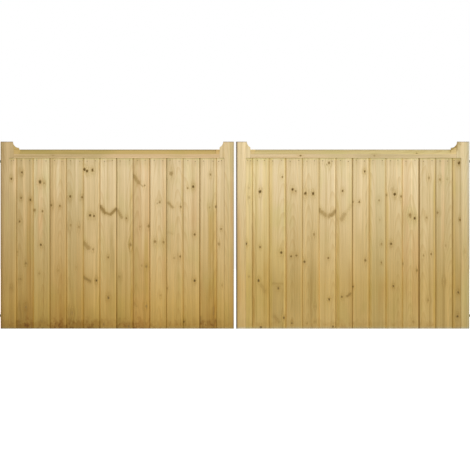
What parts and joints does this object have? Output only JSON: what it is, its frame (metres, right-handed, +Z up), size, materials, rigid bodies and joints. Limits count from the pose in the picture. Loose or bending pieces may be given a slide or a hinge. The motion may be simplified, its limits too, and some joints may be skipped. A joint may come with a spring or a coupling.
{
  "type": "double driveway gate",
  "caption": "Double driveway gate in softwood: vertical tongue-and-groove boards in a framed leaf with scooped stile horns, swinging inward on hook-and-band hinges.",
  "frame": {"origin": "centre of the mounting face of the left lower hinge hook's plate, where it bears on the left gatepost or pier", "axes": "+X along the gate from its left end to its right as seen from the front, +Y from the boarded front to the braced back, +Z up"},
  "size_m": [3.046, 0.0858, 1.203],
  "materials": {
    "frame_timber": "planed pressure-treated softwood, straw yellow with a green cast",
    "board_timber": "planed pressure-treated softwood boards with knots",
    "hinge_steel": "hot-dip galvanised steel"
  },
  "bodies": {
    "hinge_hooks": {"left_hooks": "hinge_steel", "right_hooks": "hinge_steel"},
    "left_leaf": {"left_hanging_stile": "frame_timber", "left_meeting_stile": "frame_timber", "left_top_rail": "frame_timber", "left_middle_rail": "frame_timber", "left_bottom_rail": "frame_timber", "left_braces": "frame_timber", "left_board_01": "board_timber", "left_board_02": "board_timber", "left_board_03": "board_timber", "left_board_04": "board_timber", "left_board_05": "board_timber", "left_board_06": "board_timber", "left_board_07": "board_timber", "left_board_08": "board_timber", "left_board_09": "board_timber", "left_board_10": "board_timber", "left_board_11": "board_timber", "left_board_12": "board_timber", "left_board_13": "board_timber", "left_board_14": "board_timber", "left_bands": "hinge_steel"},
    "right_leaf": {"right_hanging_stile": "frame_timber", "right_meeting_stile": "frame_timber", "right_top_rail": "frame_timber", "right_middle_rail": "frame_timber", "right_bottom_rail": "frame_timber", "right_braces": "frame_timber", "right_board_01": "board_timber", "right_board_02": "board_timber", "right_board_03": "board_timber", "right_board_04": "board_timber", "right_board_05": "board_timber", "right_board_06": "board_timber", "right_board_07": "board_timber", "right_board_08": "board_timber", "right_board_09": "board_timber", "right_board_10": "board_timber", "right_board_11": "board_timber", "right_board_12": "board_timber", "right_board_13": "board_timber", "right_board_14": "board_timber", "right_bands": "hinge_steel"}
  },
  "joints": [
    {"name": "left_leaf_swing", "type": "hinge", "parent": "hinge_hooks", "child": "left_leaf", "pos_m": [0.0318, 0, 0], "axis": [0, 0, 1], "range_deg": [0, 100]},
    {"name": "right_leaf_swing", "type": "hinge", "parent": "hinge_hooks", "child": "right_leaf", "pos_m": [3.0142, 0, 0], "axis": [0, 0, -1], "range_deg": [0, 100]}
  ]
}
